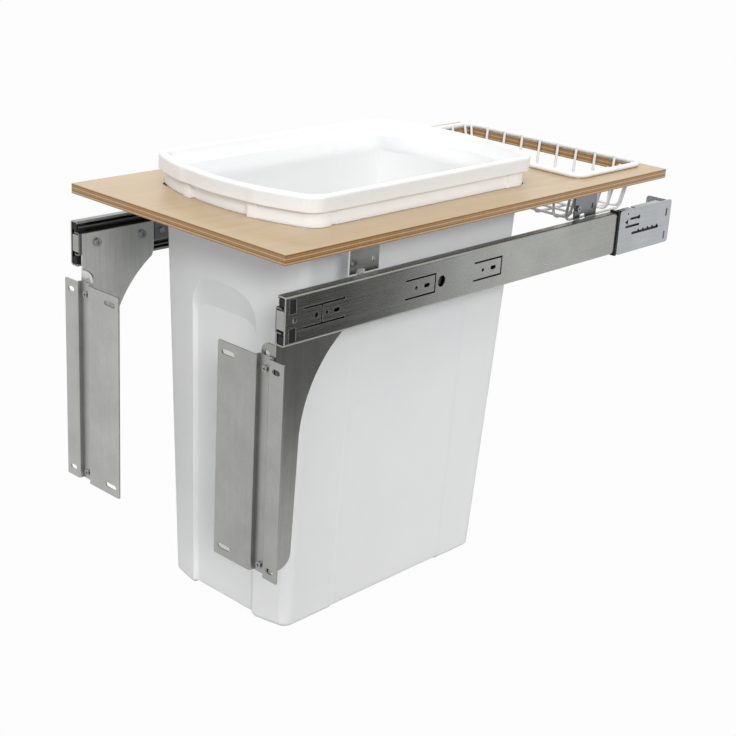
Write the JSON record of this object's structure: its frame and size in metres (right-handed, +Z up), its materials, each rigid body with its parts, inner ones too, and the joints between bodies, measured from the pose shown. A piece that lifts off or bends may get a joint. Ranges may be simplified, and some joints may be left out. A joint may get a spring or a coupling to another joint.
{
  "type": "pull out trash cabinet",
  "caption": "Top-mount pull-out waste bin unit: plywood platform with lift-out bin and wire basket on full-extension ball-bearing slides with door brackets.",
  "frame": {"origin": "middle of the platform's front edge on its top face, level with the cabinet's front", "axes": "+Z up, the unit pulls out towards -Y, +X to the right-hand slide seen from the back"},
  "size_m": [0.3126, 0.5902, 0.4452],
  "materials": {
    "plywood": "clear-lacquered birch face, layered edges",
    "zinc_slide": "zinc-plated, fine long grain",
    "zinc_bracket": "bright zinc plate",
    "arm_steel": "zinc-plated sheet, satin",
    "door_bracket_steel": "zinc-plated sheet, matt",
    "ball_steel": "polished bearing steel",
    "cage_steel": "bright stamped strip",
    "screw_zinc": "bright zinc plate",
    "black_plastic": "moulded, satin",
    "grey_plastic": "moulded, satin",
    "bin_white": "fine moulded grain",
    "basket_white": "white plastic-coated wire"
  },
  "bodies": {
    "cabinet_side": {"right_cabinet_member": "zinc_slide", "left_cabinet_member": "zinc_slide", "right_rear_bracket": "zinc_bracket", "left_rear_bracket": "zinc_bracket", "right_bracket_sleeve": "black_plastic", "left_bracket_sleeve": "black_plastic", "right_rear_end_block": "black_plastic", "left_rear_end_block": "black_plastic", "right_cabinet_race_stops": "black_plastic", "left_cabinet_race_stops": "black_plastic"},
    "drawer": {"right_drawer_member": "zinc_slide", "left_drawer_member": "zinc_slide", "right_front_bumper": "grey_plastic", "left_front_bumper": "grey_plastic", "right_arm_plate": "arm_steel", "left_arm_plate": "arm_steel", "right_arm_screws": "screw_zinc", "left_arm_screws": "screw_zinc", "right_door_bracket": "door_bracket_steel", "left_door_bracket": "door_bracket_steel", "right_door_bracket_screws": "screw_zinc", "left_door_bracket_screws": "screw_zinc", "right_front_platform_bracket": "zinc_bracket", "left_front_platform_bracket": "zinc_bracket", "right_rear_platform_bracket": "zinc_bracket", "left_rear_platform_bracket": "zinc_bracket", "right_platform_bracket_screws": "screw_zinc", "left_platform_bracket_screws": "screw_zinc", "right_platform_bracket_rivets": "screw_zinc", "left_platform_bracket_rivets": "screw_zinc", "platform_screws": "screw_zinc", "platform": "plywood"},
    "bin": {"waste_bin": "bin_white"},
    "basket": {"wire_basket": "basket_white"},
    "right_middle": {"right_middle_member": "zinc_slide", "right_middle_race_stops": "black_plastic"},
    "right_outer_cage": {"right_outer_ball_cage": "cage_steel", "right_outer_balls": "ball_steel"},
    "right_inner_cage": {"right_inner_ball_cage": "cage_steel", "right_inner_balls": "ball_steel"},
    "left_middle": {"left_middle_member": "zinc_slide", "left_middle_race_stops": "black_plastic"},
    "left_outer_cage": {"left_outer_ball_cage": "cage_steel", "left_outer_balls": "ball_steel"},
    "left_inner_cage": {"left_inner_ball_cage": "cage_steel", "left_inner_balls": "ball_steel"}
  },
  "joints": [
    {"name": "drawer_slide", "type": "slide", "parent": "cabinet_side", "child": "drawer", "axis": [0, -1, 0], "range_m": [0, 0.5]},
    {"name": "right_middle_slide", "type": "slide", "parent": "cabinet_side", "child": "right_middle", "axis": [0, -1, 0], "range_m": [0, 0.25]},
    {"name": "right_outer_cage_slide", "type": "slide", "parent": "cabinet_side", "child": "right_outer_cage", "axis": [0, -1, 0], "range_m": [0, 0.125]},
    {"name": "right_inner_cage_slide", "type": "slide", "parent": "cabinet_side", "child": "right_inner_cage", "axis": [0, -1, 0], "range_m": [0, 0.375]},
    {"name": "left_middle_slide", "type": "slide", "parent": "cabinet_side", "child": "left_middle", "axis": [0, -1, 0], "range_m": [0, 0.25]},
    {"name": "left_outer_cage_slide", "type": "slide", "parent": "cabinet_side", "child": "left_outer_cage", "axis": [0, -1, 0], "range_m": [0, 0.125]},
    {"name": "left_inner_cage_slide", "type": "slide", "parent": "cabinet_side", "child": "left_inner_cage", "axis": [0, -1, 0], "range_m": [0, 0.375]},
    {"name": "bin_lift", "type": "slide", "parent": "drawer", "child": "bin", "axis": [0, 0, 1], "range_m": [0, 0.46]},
    {"name": "basket_lift", "type": "slide", "parent": "drawer", "child": "basket", "axis": [0, 0, 1], "range_m": [0, 0.1]}
  ],
  "couplings": [
    {"joint": "right_middle_slide", "follows": "drawer_slide", "ratio": 0.5},
    {"joint": "right_outer_cage_slide", "follows": "drawer_slide", "ratio": 0.25},
    {"joint": "right_inner_cage_slide", "follows": "drawer_slide", "ratio": 0.75},
    {"joint": "left_middle_slide", "follows": "drawer_slide", "ratio": 0.5},
    {"joint": "left_outer_cage_slide", "follows": "drawer_slide", "ratio": 0.25},
    {"joint": "left_inner_cage_slide", "follows": "drawer_slide", "ratio": 0.75}
  ]
}
